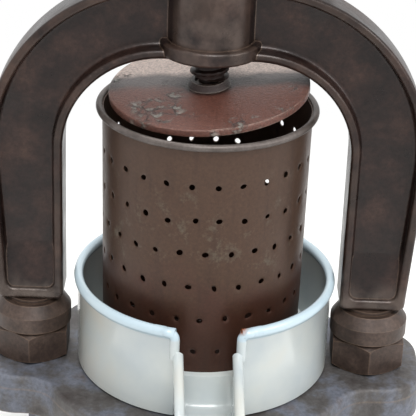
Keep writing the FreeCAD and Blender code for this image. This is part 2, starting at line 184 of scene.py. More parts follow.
def wornIron(name, look):
    # cast or wrought iron under old oxide: blotched colour, lighter rubbed edges, grainy skin
    material, tree, shader, spot = newMaterial(name)
    axes = splitAxes(tree, spot)
    patch = noise(tree, spot, look["patch"], "blotched")["Fac"]
    grain = noise(tree, spot, look["grain"], "grainy")["Fac"]
    speck = remap(tree, grain, *ironSkin["speckSpan"], 1.0 - look["speck"], 1.0 + look["speck"])
    colour = scaled(tree, colourRamp(tree, patch, look["stops"]), speck)
    for band in look.get("bands", ()):
        # a part of the surface picked out by its distance along one axis
        along = axes[band["axis"]]
        if band.get("both"):
            along = calc(tree, "ABSOLUTE", along)
        mask = remap(tree, along, band["low"] * mm, band["high"] * mm, 0.0, band["most"], True)
        spread = remap(tree, noise(tree, spot, band["size"], "broken")["Fac"], *ironSkin["brokenSpan"])
        colour = blend(tree, calc(tree, "MULTIPLY", mask, spread), colour, band["colour"])
    rubbed = rubbedEdge(tree, look["edgeWidth"], ironSkin["rubSpan"], look["edgeMost"])
    lumps = noise(tree, spot, look["lump"], "soft")["Fac"]
    coarse = bump(tree, lumps, look["bump"], ironSkin["lumpDeep"])
    fillNode(tree, shader, {
        "Base Color": blend(tree, calc(tree, "MULTIPLY", rubbed, speck), colour, look["edge"]),
        "Roughness": remap(tree, patch, *ironSkin["glossSpan"], *look["rough"]),
        "Normal": bump(tree, grain, look["bump"] * ironSkin["grainShare"], ironSkin["grainDeep"], coarse),
        "Metallic": look["metal"],
    })
    return material


yokeLook = {
    "patch": 30.0, "grain": 3.0, "lump": 9.0, "speck": 0.36, "bump": 0.5,
    "stops": ((0.3, "#140c0a"), (0.47, "#211512"), (0.6, "#31211c"), (0.76, "#45322a")),
    # the rubbed edges are set lighter than wear alone: partly worn metal, partly a painted highlight along
    # the flange edges
    "edge": "#8d7868", "edgeWidth": 1.5, "edgeMost": 0.5, "rough": (0.24, 0.42), "metal": 0.3,
    "bands": (
        # lighter flange fronts (|y| 12.2 to 14.2 mm): partly rubbed wear, partly a painted highlight on the
        # flanges
        {"axis": 1, "both": True, "low": 12.2, "high": 14.2, "most": 0.35, "size": 20.0, "colour": "#57463c"},
        # lighter lip and hub front (|y| 14.5 to 22 mm): a painted highlight on the lip's bead, which also
        # lightens the hub
        {"axis": 1, "both": True, "low": 14.5, "high": 22.0, "most": 0.24, "size": 12.0, "colour": "#75665e"},
        # lighter foot below 174 mm: a painted highlight standing in for the lit face of the foot's sloping
        # ramp
        {"axis": 2, "low": 174.0, "high": 158.0, "most": 0.5, "size": 14.0, "colour": "#6e625a"},
    ),
}
baseLook = {
    "patch": 26.0, "grain": 2.6, "lump": 8.0, "speck": 0.25, "bump": 0.3,
    # the bluish stop at 0.6 is a painted reflection on the bare worn iron; the other stops are the iron's own
    # greys and browns
    "stops": ((0.26, "#37302e"), (0.45, "#53504f"), (0.6, "#666a75"), (0.78, "#5a4e47")),
    "edge": "#816f61", "edgeWidth": 2.0, "edgeMost": 0.5, "rough": (0.42, 0.6), "metal": 0.2,
}
nutLook = {
    "patch": 15.0, "grain": 2.4, "lump": 7.0, "speck": 0.28, "bump": 0.35,
    "stops": ((0.28, "#30251f"), (0.5, "#44362f"), (0.66, "#52433b"), (0.8, "#5d4a3a")),
    "edge": "#846c58", "edgeWidth": 1.5, "edgeMost": 0.45, "rough": (0.38, 0.55), "metal": 0.25,
}
screwLook = {
    "patch": 9.0, "grain": 1.8, "lump": 5.0, "speck": 0.3, "bump": 0.25,
    "stops": ((0.3, "#140c0b"), (0.52, "#221411"), (0.75, "#321e18")),
    "edge": "#4a392f", "edgeWidth": 0.8, "edgeMost": 0.35, "rough": (0.36, 0.52), "metal": 0.3,
}
rimLook = {
    "patch": 18.0, "grain": 2.0, "lump": 7.0, "speck": 0.22, "bump": 0.2,
    "stops": ((0.3, "#4a423e"), (0.5, "#5c5450"), (0.75, "#6f6763")),
    "edge": "#8c8480", "edgeWidth": 0.8, "edgeMost": 0.3, "rough": (0.34, 0.5), "metal": 0.4,
}
barLook = {
    "patch": 14.0, "grain": 1.6, "lump": 6.0, "speck": 0.2, "bump": 0.15,
    "stops": ((0.3, "#4a4340"), (0.52, "#6a625d"), (0.75, "#857b74")),
    "edge": "#a39a92", "edgeWidth": 1.0, "edgeMost": 0.4, "rough": (0.3, 0.46), "metal": 0.75,
}
bronzeLook = {
    "patch": 10.0, "grain": 2.0, "lump": 6.0, "speck": 0.18, "bump": 0.15,
    "stops": ((0.3, "#5e4426"), (0.52, "#83602f"), (0.75, "#97713b")),
    "edge": "#b8935a", "edgeWidth": 1.0, "edgeMost": 0.5, "rough": (0.32, 0.48), "metal": 0.8,
}
yokeIron = wornIron("castIronBlackOxide", yokeLook)
baseIron = wornIron("castIronGreyWorn", baseLook)
nutIron = wornIron("forgedIronBrown", nutLook)
screwSteel = wornIron("screwSteelOiled", screwLook)
barSteel = wornIron("barSteelRubbed", barLook)
rimSteel = wornIron("rolledRimGrey", rimLook)
bushBronze = wornIron("bronzeDull", bronzeLook)


plateLook = {
    # front to back: red-brown front, darker middle, then a light tan back that is a painted sheen
    "stops": ((0.28, "#633f35"), (0.4, "#463b38"), (0.6, "#463b38"), (0.74, "#b5a298")),
    "broad": 36.0, "drift": 12.0, "fromY": -20.0, "toY": 30.0,
    "flake": "#86847c", "scale": 7.0, "flakeSpan": (0.52, 0.57),
    "zone": 30.0, "zoneSpan": (0.6, 0.68), "zoneMost": 0.8,
    "flakeSpot": (-22.0, -18.0, 297.0), "gatherFrom": 34.0, "gatherTo": 6.0, "gatherMost": 0.2,
    "crack": "#251b18", "crackSize": 15.0, "crackWide": 0.045, "crackMost": 0.9, "crackSpan": (0.62, 0.68),
    "curl": 9.0,
    "pit": 1.5, "pitSpan": (0.35, 0.68), "pitShade": (0.5, 1.45),
    # dark round the neck out to 18 mm: painted shade where the neck meets the plate under the hub
    "dark": "#231613", "hubFrom": 13.5, "hubTo": 18.0, "hubMost": 0.9,
    "edge": "#a1978a", "edgeWidth": 0.9, "edgeSpan": (0.99, 0.85), "edgeMost": 0.7,
    "flakeRelief": (0.9, 1.2), "crackRelief": (0.7, 0.8), "pitRelief": (0.85, 0.6),
    "rough": 0.32, "metal": 0.1,
}


def rustedPlate():
    # cast plate with old paint lifting in scales: red-brown ground with a painted sheen towards the back,
    # grey curled flakes, fine pits
    look = plateLook
    material, tree, shader, spot = newMaterial("castPlateFlaking")
    axes = splitAxes(tree, spot)
    broad = noise(tree, spot, look["broad"], "blotched")["Fac"]
    drift = remap(tree, broad, 0.0, 1.0, -look["drift"] * mm, look["drift"] * mm)
    along = calc(tree, "ADD", axes["Y"], drift)
    # the ground runs front to back; its light tan back is a painted sheen
    ground = colourRamp(tree, remap(tree, along, look["fromY"] * mm, look["toY"] * mm), look["stops"])
    # scales of paint lift where the zone noise is high, and most round one spot
    wobble = noise(tree, spot, look["scale"], "scaly")
    flakes = remap(tree, wobble["Fac"], *look["flakeSpan"])
    heart = distanceFrom(tree, spot, look["flakeSpot"])
    gather = remap(tree, heart, look["gatherFrom"] * mm, look["gatherTo"] * mm, 0.0, look["gatherMost"])
    loose = calc(tree, "ADD", noise(tree, spot, look["zone"], "smooth")["Fac"], gather)
    zoned = remap(tree, loose, *look["zoneSpan"], 0.0, look["zoneMost"])
    lifted = calc(tree, "MULTIPLY", flakes, zoned)
    flaked = blend(tree, lifted, ground, look["flake"])
    # cracks follow bent cell borders, so they curl
    bent = addVectors(tree, spot, scaled(tree, wobble["Color"], look["curl"] * mm))
    given = {"feature": "DISTANCE_TO_EDGE", "Scale": perMm(look["crackSize"]), "Vector": bent}
    border = addNode(tree, "ShaderNodeTexVoronoi", given).outputs["Distance"]
    split = remap(tree, border, 0.0, look["crackWide"], look["crackMost"], 0.0)
    opened = calc(tree, "MULTIPLY", split, remap(tree, loose, *look["crackSpan"]))
    cracked = blend(tree, opened, flaked, look["crack"])
    pits = noise(tree, spot, look["pit"], "pitted")["Fac"]
    speck = remap(tree, pits, *look["pitSpan"], *look["pitShade"])
    # painted shade round the neck, then bare metal along the plate's edge
    reach = lengthOf(tree, joinAxes(tree, {"X": axes["X"], "Y": axes["Y"]}))
    neckShade = remap(tree, reach, look["hubTo"] * mm, look["hubFrom"] * mm, 0.0, look["hubMost"], True)
    shadedPlate = blend(tree, neckShade, scaled(tree, cracked, speck), look["dark"])
    rubbed = rubbedEdge(tree, look["edgeWidth"], look["edgeSpan"], look["edgeMost"])
    relief = bump(tree, lifted, *look["flakeRelief"])
    slits = bump(tree, opened, *look["crackRelief"], relief, True)
    fillNode(tree, shader, {
        "Base Color": blend(tree, calc(tree, "MULTIPLY", rubbed, speck), shadedPlate, look["edge"]),
        "Normal": bump(tree, pits, *look["pitRelief"], slits),
        "Roughness": look["rough"], "Metallic": look["metal"],
    })
    return material


basketLook = {
    "stops": ((0.26, "#43281d"), (0.46, "#473225"), (0.9, "#4a362a")), "drop": (133.0, 286.5),
    "blotch": 30.0, "swaySpan": (0.25, 0.75), "sway": 0.16,
    "drip": "#35231c", "dripSize": 7.0, "dripStretch": 0.12, "dripSpan": (0.55, 0.72), "dripMost": 0.4,
    "green": "#625d50", "bloomSize": 16.0, "bloomSpan": (0.54, 0.68), "bloomMost": 0.6,
    "bloomFrom": 0.36, "bloomTo": 0.85, "bloomHeart": 0.08,
    "pit": 2.0, "pitSpan": (0.35, 0.7), "pitShade": (0.84, 1.14), "pitRelief": (0.2, 0.3),
    "glossSpan": (0.3, 0.7), "rough": (0.34, 0.52), "metal": 0.35,
}


def patinatedSheet():
    # tinned sheet gone brown: darker and redder towards the foot, grey-green bloom, long faint drips
    look = basketLook
    material, tree, shader, spot = newMaterial("sheetSteelBrownPatina")
    axes = splitAxes(tree, spot)
    foot, top = look["drop"]
    rise = remap(tree, axes["Z"], foot * mm, top * mm)
    blotch = noise(tree, spot, look["blotch"], "stained")["Fac"]
    level = calc(tree, "ADD", rise, remap(tree, blotch, *look["swaySpan"], -look["sway"], look["sway"]))
    ground = colourRamp(tree, level, look["stops"])
    given = {"Scale": (1.0, 1.0, look["dripStretch"]), "Vector": spot}
    stretched = addNode(tree, "ShaderNodeMapping", given).outputs[0]
    drips = noise(tree, stretched, look["dripSize"], "broken")["Fac"]
    streaked = blend(tree, remap(tree, drips, *look["dripSpan"], 0.0, look["dripMost"]), ground, look["drip"])
    # bloom keeps to a belt round the wall
    bloom = noise(tree, spot, look["bloomSize"], "scaly")["Fac"]
    bloomed = remap(tree, bloom, *look["bloomSpan"], 0.0, look["bloomMost"])
    halfway = (look["bloomFrom"] + look["bloomTo"]) / 2
    away = calc(tree, "ABSOLUTE", calc(tree, "SUBTRACT", level, halfway))
    belt = remap(tree, away, look["bloomTo"] - halfway, look["bloomHeart"], smooth=True)
    aged = blend(tree, calc(tree, "MULTIPLY", bloomed, belt), streaked, look["green"])
    pits = noise(tree, spot, look["pit"], "speckled")["Fac"]
    fillNode(tree, shader, {
        "Base Color": scaled(tree, aged, remap(tree, pits, *look["pitSpan"], *look["pitShade"])),
        "Roughness": remap(tree, blotch, *look["glossSpan"], *look["rough"]),
        "Normal": bump(tree, pits, *look["pitRelief"]),
        "Metallic": look["metal"],
    })
    return material


enamelLook = {
    "stops": ((0.3, "#bcc5c8"), (0.5, "#c9cfcd"), (0.72, "#d2d0c6")), "cloud": 45.0,
    "bead": "#b9d0dd", "beadFrom": 164.5, "beadTo": 167.0, "beadMost": 0.75,
    "chip": "#5c3a26", "chipSize": 7.0, "chipSpan": (0.715, 0.74), "chipMost": 0.9, "chipRelief": (0.5, 0.4),
    "rust": "#8f4a1e", "rustSpot": (25.8, -77.6, 171.5), "rustFrom": 4.6, "rustTo": 1.6, "ragged": 2.2,
    "ripple": 18.0, "rippleRelief": (0.08, 0.6), "rough": (0.16, 0.6), "coat": 0.4, "coatRough": 0.08,
}


def vitreousEnamel():
    # glossy white glass coat, bluish on the beaded rim, warm where juice stained it, rusty chips
    look = enamelLook
    material, tree, shader, spot = newMaterial("vitreousEnamelWhite")
    axes = splitAxes(tree, spot)
    ground = colourRamp(tree, noise(tree, spot, look["cloud"], "broken")["Fac"], look["stops"])
    rim = remap(tree, axes["Z"], look["beadFrom"] * mm, look["beadTo"] * mm, 0.0, look["beadMost"], True)
    chips = noise(tree, spot, look["chipSize"], "chipped")["Fac"]
    spots = remap(tree, chips, *look["chipSpan"], 0.0, look["chipMost"])
    chipped = blend(tree, spots, blend(tree, rim, ground, look["bead"]), look["chip"])
    # rust eating in from the corner of the rim beside the spout
    near = distanceFrom(tree, spot, look["rustSpot"])
    ragged = remap(tree, chips, 0.0, 1.0, -look["ragged"] * mm, look["ragged"] * mm)
    rusty = remap(tree, calc(tree, "ADD", near, ragged), look["rustFrom"] * mm, look["rustTo"] * mm)
    waves = bump(tree, noise(tree, spot, look["ripple"], "smooth")["Fac"], *look["rippleRelief"])
    fillNode(tree, shader, {
        "Base Color": blend(tree, rusty, chipped, look["rust"]),
        "Roughness": remap(tree, spots, 0.0, 1.0, *look["rough"]),
        "Normal": bump(tree, spots, *look["chipRelief"], waves, True),
        "Coat Weight": look["coat"], "Coat Roughness": look["coatRough"],
    })
    return material


plateIron = rustedPlate()
basketSteel = patinatedSheet()
panEnamel = vitreousEnamel()
print("materials ready")


# mesh helpers

meshCare = {
    "weldSolid": 0.002, "weldDrawn": 0.005, "sliver": 0.001,
    "nutAngle": 20, "castAngle": 32, "drawnAngle": 35, "sheetAngle": 40, "roundAngle": 50,
}


def objectFrom(data, name):
    piece = bpy.data.objects.new(name, data)
    scene.collection.objects.link(piece)
    return piece


def place(piece, body, slot, *nodes):
    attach(piece, body)
    if nodes:
        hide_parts(*nodes)
    return piece


def smoothByAngle(mesh, degrees):
    for polygon in mesh.polygons:
        polygon.use_smooth = True
    mesh.set_sharp_from_angle(angle=math.radians(degrees))


def smoothCopy(node, name, material, body, slot, degrees=meshCare["castAngle"]):
    # the CAD solid with its triangles joined, so that its curves shade round
    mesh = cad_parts[node].data.copy()
    mesh.name = name
    shape = bmesh.new()
    shape.from_mesh(mesh)
    bmesh.ops.remove_doubles(shape, verts=shape.verts, dist=meshCare["weldSolid"] * mm)
    shape.to_mesh(mesh)
    shape.free()
    for label in ("custom_normal", "sharp_edge", "sharp_face"):
        if label in mesh.attributes:
            mesh.attributes.remove(mesh.attributes[label])
    smoothByAngle(mesh, degrees)
    mesh.materials.clear()
    mesh.materials.append(material)
    return place(objectFrom(mesh, name), body, slot, node)


def arcPoints(centre, radii, start, end, count):
    # points on an elliptical arc, angles in degrees
    points = []
    for step in range(count + 1):
        angle = math.radians(start + (end - start) * step / count)
        points.append((centre[0] + radii[0] * math.cos(angle), centre[1] + radii[1] * math.sin(angle)))
    return points


def joinRings(shape, rings):
    # faces between neighbouring closed rings of points
    for near, far in zip(rings, rings[1:]):
        for i in range(len(near)):
            j = (i + 1) % len(near)
            shape.faces.new((near[i], near[j], far[j], far[i]))


def addLathe(shape, outline, centre, segments, start=0.0, sweep=360.0):
    # turns a closed (radius, height) outline about an upright axis; a part turn gets end faces
    full = sweep >= 360.0
    columns = segments if full else segments + 1
    rings = []
    for column in range(columns):
        angle = math.radians(start + sweep * column / segments)
        ring = []
        for radius, height in outline:
            point = (centre[0] + radius * math.cos(angle), centre[1] + radius * math.sin(angle), height)
            ring.append(shape.verts.new(Vector(point) * mm))
        rings.append(ring)
    count = len(outline)
    for column in range(segments):
        near = rings[column]
        far = rings[(column + 1) % columns]
        for i in range(count):
            j = (i + 1) % count
            shape.faces.new((near[i], far[i], far[j], near[j]))
    if not full:
        shape.faces.new(rings[0])
        shape.faces.new(reversed(rings[-1]))


def addTube(shape, path, radius, sides):
    # sweeps a circle along a path of points, with closed ends
    points = [Vector(point) for point in path]
    heading = (points[1] - points[0]).normalized()
    across = heading.orthogonal().normalized()
    rings = []
    for i, point in enumerate(points):
        ahead = points[min(i + 1, len(points) - 1)] - points[max(i - 1, 0)]
        across = heading.rotation_difference(ahead) @ across
        heading = ahead.normalized()
        other = heading.cross(across)
        ring = []
        for step in range(sides):
            angle = 2 * math.pi * step / sides
            offset = radius * (math.cos(angle) * across + math.sin(angle) * other)
            ring.append(shape.verts.new((point + offset) * mm))
        rings.append(ring)
    joinRings(shape, rings)
    shape.faces.new(reversed(rings[0]))
    shape.faces.new(rings[-1])


def finishMesh(shape, name, material, degrees=meshCare["drawnAngle"]):
    bmesh.ops.remove_doubles(shape, verts=shape.verts, dist=meshCare["weldDrawn"] * mm)
    bmesh.ops.dissolve_degenerate(shape, edges=shape.edges, dist=meshCare["sliver"] * mm)
    bmesh.ops.recalc_face_normals(shape, faces=shape.faces)
    mesh = bpy.data.meshes.new(name)
    shape.to_mesh(mesh)
    shape.free()
    smoothByAngle(mesh, degrees)
    mesh.materials.append(material)
    return objectFrom(mesh, name)


def keepShape(piece):
    # what a piece's modifiers make becomes its plain mesh
    bpy.context.view_layer.update()
    evaluated = piece.evaluated_get(bpy.context.evaluated_depsgraph_get())
    mesh = bpy.data.meshes.new_from_object(evaluated)
    piece.modifiers.clear()
    piece.data = mesh


def bakeNodes(piece, tree, values):
    # runs a Geometry Nodes tree on a piece and keeps its result
    modifier = piece.modifiers.new("shape", "NODES")
    modifier.node_group = tree
    for item in tree.interface.items_tree:
        if item.item_type == "SOCKET" and item.in_out == "INPUT" and item.name in values:
            modifier[item.identifier] = values[item.name]
    keepShape(piece)
    return piece


def newTree(name, inputs):
    # a Geometry Nodes tree whose inputs are listed under their kind
    tree = bpy.data.node_groups.new(name, "GeometryNodeTree")
    tree.interface.new_socket("Geometry", in_out="INPUT", socket_type="NodeSocketGeometry")
    for kind, labels in inputs.items():
        for label in labels:
            tree.interface.new_socket(label, in_out="INPUT", socket_type=kind)
    tree.interface.new_socket("Geometry", in_out="OUTPUT", socket_type="NodeSocketGeometry")
    return tree, addNode(tree, "NodeGroupInput").outputs


def closeTree(tree, mesh, weld, material):
    # welds points this many millimetres apart, paints the mesh and hands it out
    merged = addNode(tree, "GeometryNodeMergeByDistance", {"Distance": weld * mm, "Geometry": mesh})
    given = {"Geometry": merged.outputs[0], "Material": material}
    painted = addNode(tree, "GeometryNodeSetMaterial", given)
    addNode(tree, "NodeGroupOutput", {0: painted.outputs[0]})


# castings and fasteners keep the CAD shape

castPieces = (
    ("base_deck", "baseDeck", baseIron, "frame", "base_iron"),
    ("base_skirt", "baseSkirt", baseIron, "frame", "base_iron"),
    ("base_ribs", "baseRibs", baseIron, "frame", "base_iron"),
    ("yoke_casting", "yokeCasting", yokeIron, "frame", "yoke_iron"),
    ("screw_bush", "screwBush", bushBronze, "frame", "bronze"),
    ("bush_grub_screw", "bushGrubScrew", barSteel, "frame", "dark_steel"),
    ("spindle_head", "spindleHead", yokeIron, "spindle", "yoke_iron"),
    ("head_pin", "headPin", barSteel, "spindle", "dark_steel"),
    ("tommy_bar", "tommyBar", barSteel, "tommy_bar", "bar_steel"),
    ("thrust_pad", "thrustPad", barSteel, "thrust_pad", "dark_steel"),
    ("basket_rim", "basketRim", rimSteel, "pan", "basket_steel"),
    ("basket_floor", "basketFloor", basketSteel, "pan", "basket_steel"),
    ("pan_support", "panSupport", baseIron, "pan", "base_iron"),
)
for node, name, material, body, slot in castPieces:
    smoothCopy(node, name, material, body, slot)
for side in ("left", "right"):
    smoothCopy("front_" + side + "_leg", side + "FrontLeg", baseIron, "frame", "base_iron")
    smoothCopy("back_" + side + "_leg", side + "BackLeg", baseIron, "frame", "base_iron")
    smoothCopy(side + "_stud", side + "Stud", screwSteel, "frame", "dark_steel")
    smoothCopy(side + "_hex_nut", side + "HexNut", nutIron, "frame", "nut_iron", meshCare["nutAngle"])
    smoothCopy(side + "_collar", side + "Collar", nutIron, "frame", "nut_iron")
    smoothCopy(side + "_washer", side + "Washer", barSteel, "frame", "dark_steel")
    smoothCopy(side + "_lower_nut", side + "LowerNut", nutIron, "frame", "dark_steel", meshCare["nutAngle"])
    smoothCopy(side + "_pivot_pin", side + "PivotPin", barSteel, "thrust_pad", "dark_steel")
    smoothCopy(side + "_knob", side + "Knob", barSteel, "tommy_bar", "bar_steel")
# the plate fills the basket a little closer than its solid, which has to pass the basket's collision pieces
plateFit = {"pivot": 300.7, "grow": 1.015}
pressPlate = smoothCopy("press_plate", "pressPlate", plateIron, "plate", "plate_iron")
pivotPlace = Matrix.Translation((0, 0, plateFit["pivot"] * mm))
pressPlate.data.transform(pivotPlace @ Matrix.Scale(plateFit["grow"], 4) @ pivotPlace.inverted())
print("castings dressed")


# perforated basket: one punched cell repeated round the wall

basket = {
    "x": -0.3, "foot": 133.0, "height": 153.5, "footRadius": 64.0, "topRadius": 65.3, "sheet": 0.9,
    "rowTurns": (0.25, 0.5, 0.0, 0.625, 0.125, 0.0), "perRow": 26, "firstRow": 14.4, "pitch": 22.5,
    "holeRadius": 1.8, "dimple": 0.45, "lip": ((2.3, 0.0), (1.45, 0.35), (1.0, 1.0)),
    "cellSteps": 8, "sideSteps": 6, "bandRows": 4, "weld": 0.02,
    "wander": 1.1, "wanderSize": 13.0, "wanderGain": 4.0,
}
basket["cell"] = 2 * math.pi * basket["footRadius"] / basket["perRow"]


def punchedCell():
    # flat patch with one punched hole, its lip pushed in by the punch
    halfWide = basket["cell"] / 2
    halfHigh = basket["pitch"] / 2
    border = []
    for step in range(basket["cellSteps"]):
        border.append((-halfWide + basket["cell"] * step / basket["cellSteps"], -halfHigh))
    for step in range(basket["sideSteps"]):
        border.append((halfWide, -halfHigh + basket["pitch"] * step / basket["sideSteps"]))
    border += [(-x, -z) for x, z in border]
    shape = bmesh.new()
    rings = [[shape.verts.new((x * mm, 0, z * mm)) for x, z in border]]
    for wide, deep in basket["lip"]:
        reach = wide * basket["holeRadius"] * mm
        ring = []
        for x, z in border:
            angle = math.atan2(z, x)
            point = (reach * math.cos(angle), -deep * basket["dimple"] * mm, reach * math.sin(angle))
            ring.append(shape.verts.new(point))
        rings.append(ring)
    joinRings(shape, rings)
    mesh = bpy.data.meshes.new("basketWall")
    shape.to_mesh(mesh)
    shape.free()
    return mesh


def perforationTree():
    # sets the cell out in rows turned against each other, adds plain bands, then rolls the sheet into a cone
    tree, given = newTree("perforatedWall", {
        "NodeSocketFloat": (
            "Cell Width", "Row Pitch", "First Row", "Foot Radius", "Slope", "Height", "Wander",
        ),
        "NodeSocketInt": ("Per Row", "Rows", "Band Steps"),
        "NodeSocketVector": ("Centre",), "NodeSocketMaterial": ("Material",),
    })

    def work(operation, first, second=0.0):
        return calc(tree, operation, first, second)

    def herePlace():
        return splitAxes(tree, addNode(tree, "GeometryNodeInputPosition").outputs[0])

    def moved(mesh, spot):
        return addNode(tree, "GeometryNodeSetPosition", {"Geometry": mesh, "Position": spot}).outputs[0]

    def plainGrid(wide, high, columns, rows):
        sizes = {"Size X": wide, "Size Y": high, "Vertices X": columns, "Vertices Y": rows}
        return addNode(tree, "GeometryNodeMeshGrid", sizes).outputs["Mesh"]

    def rolledPlace(angle, radius, level):
        return joinAxes(tree, {
            "X": work("MULTIPLY", work("COSINE", angle), radius),
            "Y": work("MULTIPLY", work("SINE", angle), radius),
            "Z": level,
        })

    wide = work("MULTIPLY", work("SUBTRACT", given["Per Row"], 1), given["Cell Width"])
    high = work("MULTIPLY", work("SUBTRACT", given["Rows"], 1), given["Row Pitch"])
    grid = plainGrid(wide, high, given["Per Row"], given["Rows"])
    row = work("MODULO", addNode(tree, "GeometryNodeInputIndex").outputs[0], given["Rows"])
    shift = 0.0
    for number, turned in enumerate(basket["rowTurns"]):
        # the grid's middle lies between two cells, so half a cell brings each row to its own turn
        own = work("MULTIPLY", work("COMPARE", row, number), turned + 0.5)
        shift = work("ADD", shift, work("MULTIPLY", own, given["Cell Width"]))
    spot = herePlace()
    middle = work("ADD", given["First Row"], work("MULTIPLY", high, 0.5))
    laid = joinAxes(tree, {"X": work("ADD", spot["X"], shift), "Z": work("ADD", spot["Y"], middle)})
    laying = {"Points": moved(grid, laid), "Instance": given["Geometry"]}
    cells = addNode(tree, "GeometryNodeInstanceOnPoints", laying).outputs[0]
    parts = [addNode(tree, "GeometryNodeRealizeInstances", {0: cells}).outputs[0]]
    # plain bands under the first row and over the last
    halfPitch = work("MULTIPLY", given["Row Pitch"], 0.5)
    lowEdge = work("SUBTRACT", given["First Row"], halfPitch)
    highEdge = work("ADD", lowEdge, work("MULTIPLY", given["Rows"], given["Row Pitch"]))
    fullWidth = work("MULTIPLY", given["Per Row"], given["Cell Width"])
    columns = work("ADD", work("MULTIPLY", given["Per Row"], given["Band Steps"]), 1)
    for low, top in ((0.0, lowEdge), (highEdge, given["Height"])):
        strip = plainGrid(fullWidth, work("SUBTRACT", top, low), columns, basket["bandRows"])
        flat = herePlace()
        centre = work("MULTIPLY", work("ADD", top, low), 0.5)
        parts.append(moved(strip, joinAxes(tree, {"X": flat["X"], "Z": work("ADD", flat["Y"], centre)})))
    joined = addNode(tree, "GeometryNodeJoinGeometry")
    for part in parts:
        tree.links.new(part, joined.inputs[0])
    # hand punching wanders a little; the noise is read on the rolled wall so that its seam meets
    here = herePlace()
    turn = work("MULTIPLY", work("DIVIDE", here["X"], fullWidth), 2 * math.pi)
    rolled = rolledPlace(turn, given["Foot Radius"], here["Z"])
    drift = splitAxes(tree, noise(tree, rolled, basket["wanderSize"], "even")["Color"])
    inLow = remap(tree, here["Z"], lowEdge, given["First Row"], smooth=True)
    inHigh = remap(tree, here["Z"], highEdge, work("SUBTRACT", highEdge, halfPitch), smooth=True)
    most = work("MULTIPLY", given["Wander"], basket["wanderGain"])
    inside = work("MULTIPLY", work("MULTIPLY", inLow, inHigh), most)
    slide = work("MULTIPLY", work("SUBTRACT", drift["X"], 0.5), inside)
    lift = work("MULTIPLY", work("SUBTRACT", drift["Y"], 0.5), inside)
    angle = work("MULTIPLY", work("DIVIDE", work("ADD", here["X"], slide), fullWidth), 2 * math.pi)
    level = work("ADD", here["Z"], lift)
    leaning = work("ADD", given["Foot Radius"], work("MULTIPLY", level, given["Slope"]))
    cone = rolledPlace(angle, work("ADD", leaning, here["Y"]), level)
    wall = moved(joined.outputs[0], addVectors(tree, cone, given["Centre"]))
    closeTree(tree, wall, basket["weld"], given["Material"])
    return tree


def faceOutward(mesh):
    # turns a wall's faces away from the upright axis
    shape = bmesh.new()
    shape.from_mesh(mesh)
    bmesh.ops.recalc_face_normals(shape, faces=shape.faces)
    outward = 0.0
    for face in shape.faces:
        middle = face.calc_center_median()
        outward += face.normal.dot(Vector((middle.x, middle.y, 0)))
    if outward < 0:
        bmesh.ops.reverse_faces(shape, faces=shape.faces)
    shape.to_mesh(mesh)
    shape.free()


basketWall = bakeNodes(objectFrom(punchedCell(), "basketWall"), perforationTree(), {
    "Cell Width": basket["cell"] * mm, "Row Pitch": basket["pitch"] * mm,
    "First Row": basket["firstRow"] * mm, "Wander": basket["wander"] * mm,
    "Per Row": basket["perRow"], "Rows": len(basket["rowTurns"]), "Band Steps": basket["cellSteps"],
    "Foot Radius": basket["footRadius"] * mm, "Height": basket["height"] * mm,
    "Slope": (basket["topRadius"] - basket["footRadius"]) / basket["height"],
    "Centre": (basket["x"] * mm, 0.0, basket["foot"] * mm), "Material": basketSteel,
})
faceOutward(basketWall.data)
thicken = basketWall.modifiers.new("sheet", "SOLIDIFY")
thicken.thickness = basket["sheet"] * mm
thicken.offset = -1.0
keepShape(basketWall)
smoothByAngle(basketWall.data, meshCare["sheetAngle"])
place(basketWall, "pan", "basket_steel", "basket_wall")
print("basket punched:", len(basketWall.data.polygons), "faces")


# screw spindle: a thread that follows its lead, on a slim neck

screw = {
    "radius": 12.0, "depth": 2.6, "lead": 6.0, "low": 306.5, "high": 528.0,
    "turnSteps": 48, "leadSteps": 12, "crest": 0.3, "root": 0.62, "weld": 0.01,
    "neck": 6.5, "neckFoot": 302.75, "journal": 4.0, "journalFoot": 298.7,
    "neckLap": 0.2, "fillet": 1.6, "filletSteps": 5, "neckSides": 40,
}


def threadTree():
    # a grid rolled into a tube whose radius follows the thread's profile along its lead
    tree, given = newTree("screwThread", {
        "NodeSocketFloat": ("Radius", "Depth", "Lead", "Length", "Start", "Crest", "Root"),
        "NodeSocketInt": ("Round Steps", "Long Steps"), "NodeSocketMaterial": ("Material",),
    })
    sizes = {
        "Size X": 1.0, "Size Y": 1.0,
        "Vertices X": given["Round Steps"], "Vertices Y": given["Long Steps"],
    }
    grid = addNode(tree, "GeometryNodeMeshGrid", sizes).outputs["Mesh"]
    spot = splitAxes(tree, addNode(tree, "GeometryNodeInputPosition").outputs[0])
    rise = calc(tree, "MULTIPLY", calc(tree, "ADD", spot["Y"], 0.5), given["Length"])
    lag = calc(tree, "SUBTRACT", calc(tree, "DIVIDE", rise, given["Lead"]), spot["X"])
    swing = calc(tree, "MULTIPLY", calc(tree, "PINGPONG", lag, 0.5), 2.0)
    cut = remap(tree, swing, given["Crest"], given["Root"], 0.0, given["Depth"], True)
    radius = calc(tree, "SUBTRACT", given["Radius"], cut)
    angle = calc(tree, "MULTIPLY", spot["X"], 2 * math.pi)
    point = joinAxes(tree, {
        "X": calc(tree, "MULTIPLY", radius, calc(tree, "COSINE", angle)),
        "Y": calc(tree, "MULTIPLY", radius, calc(tree, "SINE", angle)),
        "Z": calc(tree, "ADD", rise, given["Start"]),
    })
    tube = addNode(tree, "GeometryNodeSetPosition", {"Geometry": grid, "Position": point}).outputs[0]
    closeTree(tree, tube, screw["weld"], given["Material"])
    return tree


